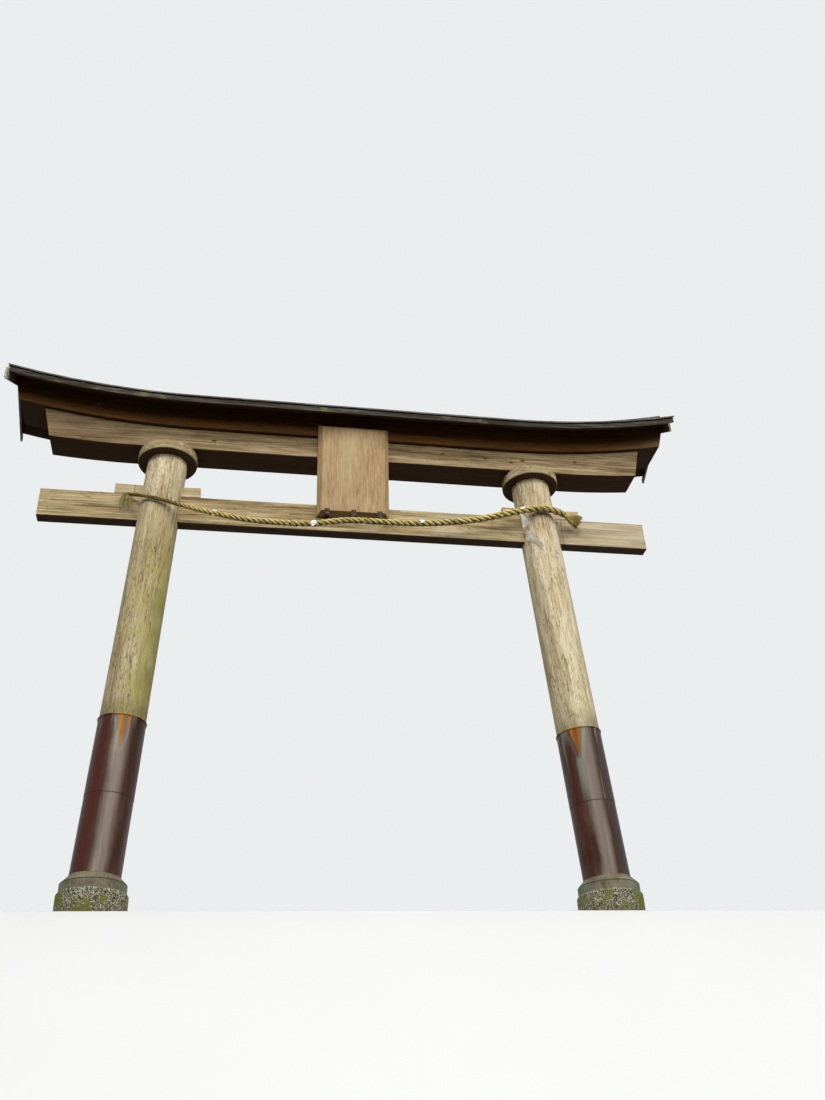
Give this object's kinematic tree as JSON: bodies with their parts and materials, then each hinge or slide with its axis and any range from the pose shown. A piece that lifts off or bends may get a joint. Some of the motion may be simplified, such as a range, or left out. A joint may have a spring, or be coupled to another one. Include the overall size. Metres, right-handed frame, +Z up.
{
  "type": "timber shrine gateway",
  "caption": "Freestanding timber shrine gateway: leaning round posts on stone bases, a tie beam with wedges, two upswept lintels with a small roof, a bare name board and a straw rope.",
  "frame": {"origin": "on the ground, midway between the two base stones", "axes": "+Z up, +X to the right along the lintels seen from the front, the front with the name board and the rope faces -Y"},
  "size_m": [4.96, 0.774, 4.013],
  "materials": {
    "granite": "speckled granite, lightly weathered",
    "collar_copper": "patinated copper, grey-green",
    "sheath_copper": "dark patinated copper",
    "post_wood": "bare weathered cypress",
    "ring_wood": "bare weathered cypress",
    "beam_wood": "bare weathered cypress",
    "wedge_wood": "bare weathered cypress",
    "lintel_wood": "bare weathered cypress",
    "upper_lintel_wood": "brown weathered cypress",
    "eave_wood": "weathered boards",
    "roof_cover_wood": "dark weathered boards",
    "barge_wood": "grey weathered board",
    "strut_wood": "bare weathered cypress",
    "plaque_wood": "planed cypress",
    "bracket_iron": "dark forged iron",
    "straw_rope": "laid rice straw"
  },
  "bodies": {
    "root": {"barge_board_left": "barge_wood", "barge_board_right": "barge_wood", "base_collar_left": "collar_copper", "base_collar_right": "collar_copper", "base_stone_left": "granite", "base_stone_right": "granite", "cap_ring_left": "ring_wood", "cap_ring_right": "ring_wood", "lower_lintel": "lintel_wood", "plaque": "plaque_wood", "plaque_bracket_left": "bracket_iron", "plaque_bracket_middle": "bracket_iron", "plaque_bracket_right": "bracket_iron", "post_left": "post_wood", "post_right": "post_wood", "ridge_cap": "roof_cover_wood", "roof_board_front": "eave_wood", "roof_board_rear": "eave_wood", "roof_cover_front": "roof_cover_wood", "roof_cover_rear": "roof_cover_wood", "rope": "straw_rope", "rope_butt": "straw_rope", "rope_knot": "straw_rope", "sheath_lower_left": "sheath_copper", "sheath_lower_right": "sheath_copper", "sheath_rim_left": "sheath_copper", "sheath_rim_right": "sheath_copper", "sheath_upper_left": "sheath_copper", "sheath_upper_right": "sheath_copper", "strut": "strut_wood", "tie_beam": "beam_wood", "upper_lintel": "upper_lintel_wood", "wedge_left_inner": "wedge_wood", "wedge_left_outer": "wedge_wood", "wedge_right_inner": "wedge_wood", "wedge_right_outer": "wedge_wood"}
  },
  "joints": []
}
